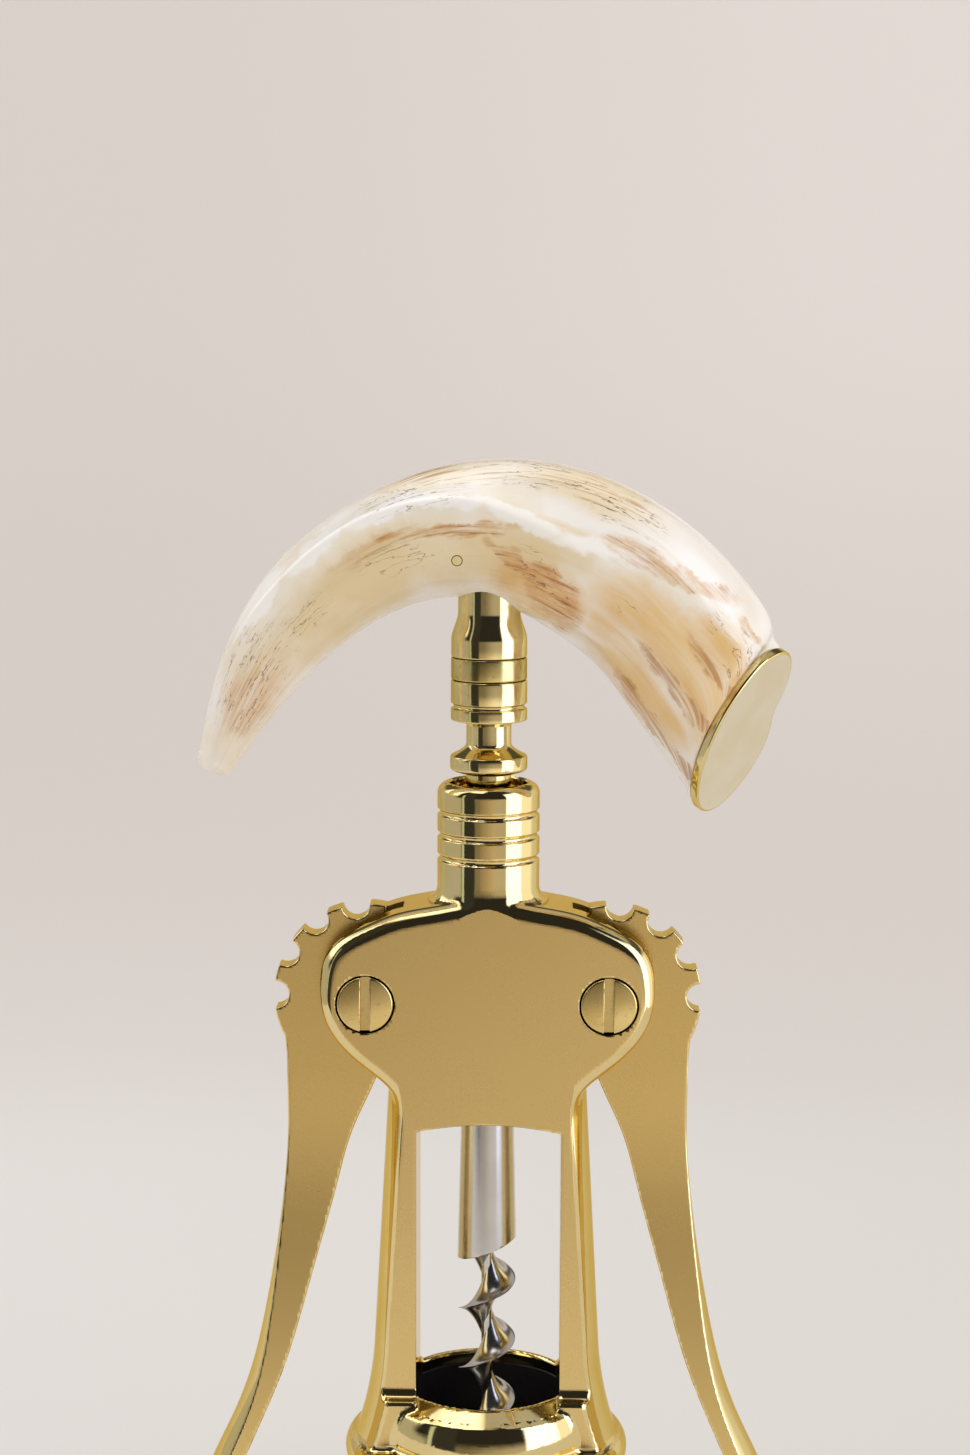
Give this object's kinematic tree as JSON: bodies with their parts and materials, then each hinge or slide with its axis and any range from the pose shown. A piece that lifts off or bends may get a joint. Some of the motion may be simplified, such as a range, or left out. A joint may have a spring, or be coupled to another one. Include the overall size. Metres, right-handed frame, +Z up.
{
  "type": "wing corkscrew",
  "caption": "Wing corkscrew in polished brass with geared levers, a ringed rack, a steel worm, a black-lined bell and a curved tusk handle with a brass cap.",
  "frame": {"origin": "middle of the bell's foot, on the worm's axis, where the bell goes over a bottle", "axes": "+Z up along the worm, +X across the levers to the capped end of the handle, -Y towards the front"},
  "size_m": [0.1116, 0.0528, 0.2063],
  "materials": {
    "polished_brass": "polished",
    "turned_steel": "satin",
    "black_plastic": "gloss",
    "tusk": "satin"
  },
  "bodies": {
    "frame": {"frame": "polished_brass", "bell_liner": "black_plastic", "left_pivot_screw": "polished_brass", "right_pivot_screw": "polished_brass", "left_pivot_nut": "polished_brass", "right_pivot_nut": "polished_brass"},
    "left_lever": {"left_lever": "polished_brass"},
    "right_lever": {"right_lever": "polished_brass"},
    "carriage": {"lock_ring": "polished_brass"},
    "handle": {"rack": "polished_brass", "worm": "turned_steel", "worm_pin": "turned_steel", "handle_ferrule": "polished_brass", "handle_stud": "turned_steel", "tusk": "tusk", "tusk_pin": "polished_brass", "tusk_cap": "polished_brass", "tusk_cap_peg": "polished_brass"}
  },
  "joints": [
    {"name": "carriage_slide", "type": "slide", "parent": "frame", "child": "carriage", "axis": [0, 0, -1], "range_m": [0, 0.0215]},
    {"name": "left_lever_hinge", "type": "hinge", "parent": "frame", "child": "left_lever", "pos_m": [-0.0221, 0, 0.1082], "axis": [0, 1, 0], "range_deg": [0, 75.85]},
    {"name": "right_lever_hinge", "type": "hinge", "parent": "frame", "child": "right_lever", "pos_m": [0.0221, 0, 0.1082], "axis": [0, -1, 0], "range_deg": [0, 75.85]},
    {"name": "handle_spin", "type": "hinge", "parent": "carriage", "child": "handle", "pos_m": [0, 0, 0.1686], "axis": [0, 0, 1], "continuous": true}
  ],
  "couplings": [
    {"joint": "left_lever_hinge", "follows": "carriage_slide", "rad_per_m": 61.57},
    {"joint": "right_lever_hinge", "follows": "carriage_slide", "rad_per_m": 61.57}
  ]
}
